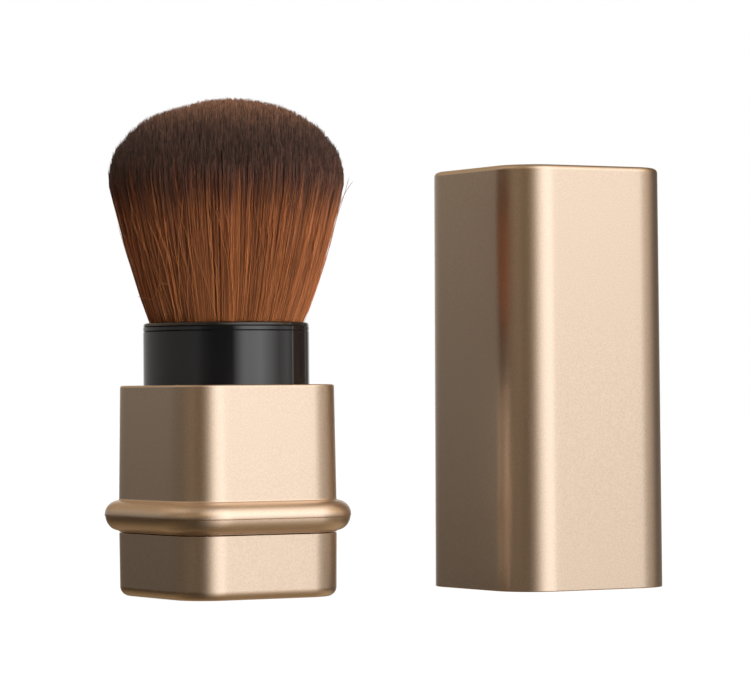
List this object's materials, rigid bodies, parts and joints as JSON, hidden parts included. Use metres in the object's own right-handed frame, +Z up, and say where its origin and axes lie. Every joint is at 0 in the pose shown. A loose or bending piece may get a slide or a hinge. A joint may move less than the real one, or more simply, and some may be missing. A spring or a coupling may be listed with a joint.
{
  "type": "travel kabuki brush",
  "caption": "Short flared powder brush on a square body, with a sliding sleeve that gathers the bristles and a tall slip-on cap standing beside it.",
  "frame": {"origin": "middle of the base cup's flat foot, on the brush's axis", "axes": "+Z up the brush's axis, from the foot to the bristles; the square body's sides face X and Y; the cap stands on +X"},
  "size_m": [0.1009, 0.0465, 0.0892],
  "materials": {
    "gold_lacquer": "satin rose-gold metallic lacquer with a fine sparkle",
    "black_plastic": "high gloss black",
    "black_inner_plastic": "satin black, as moulded",
    "ferrule_metal": "drawn, bright",
    "cast_glue": "cast resin",
    "bristle_fibre": "synthetic fibres, orange-brown with dark brown tips"
  },
  "bodies": {
    "base": {"base_cup": "gold_lacquer", "carrier": "black_inner_plastic", "ferrule": "ferrule_metal", "root_plug": "cast_glue", "bristles": "bristle_fibre"},
    "slider": {"sleeve": "gold_lacquer", "guide_tube": "black_plastic"},
    "cap": {"cap": "gold_lacquer"}
  },
  "joints": [
    {"name": "sleeve_slide", "type": "slide", "parent": "base", "child": "slider", "axis": [0, 0, 1], "range_m": [0, 0.0235], "deforming": ["bristles"]},
    {"name": "cap_lift", "type": "slide", "parent": "base", "child": "cap", "axis": [0, 0, 1], "range_m": [0, 0.1]}
  ]
}
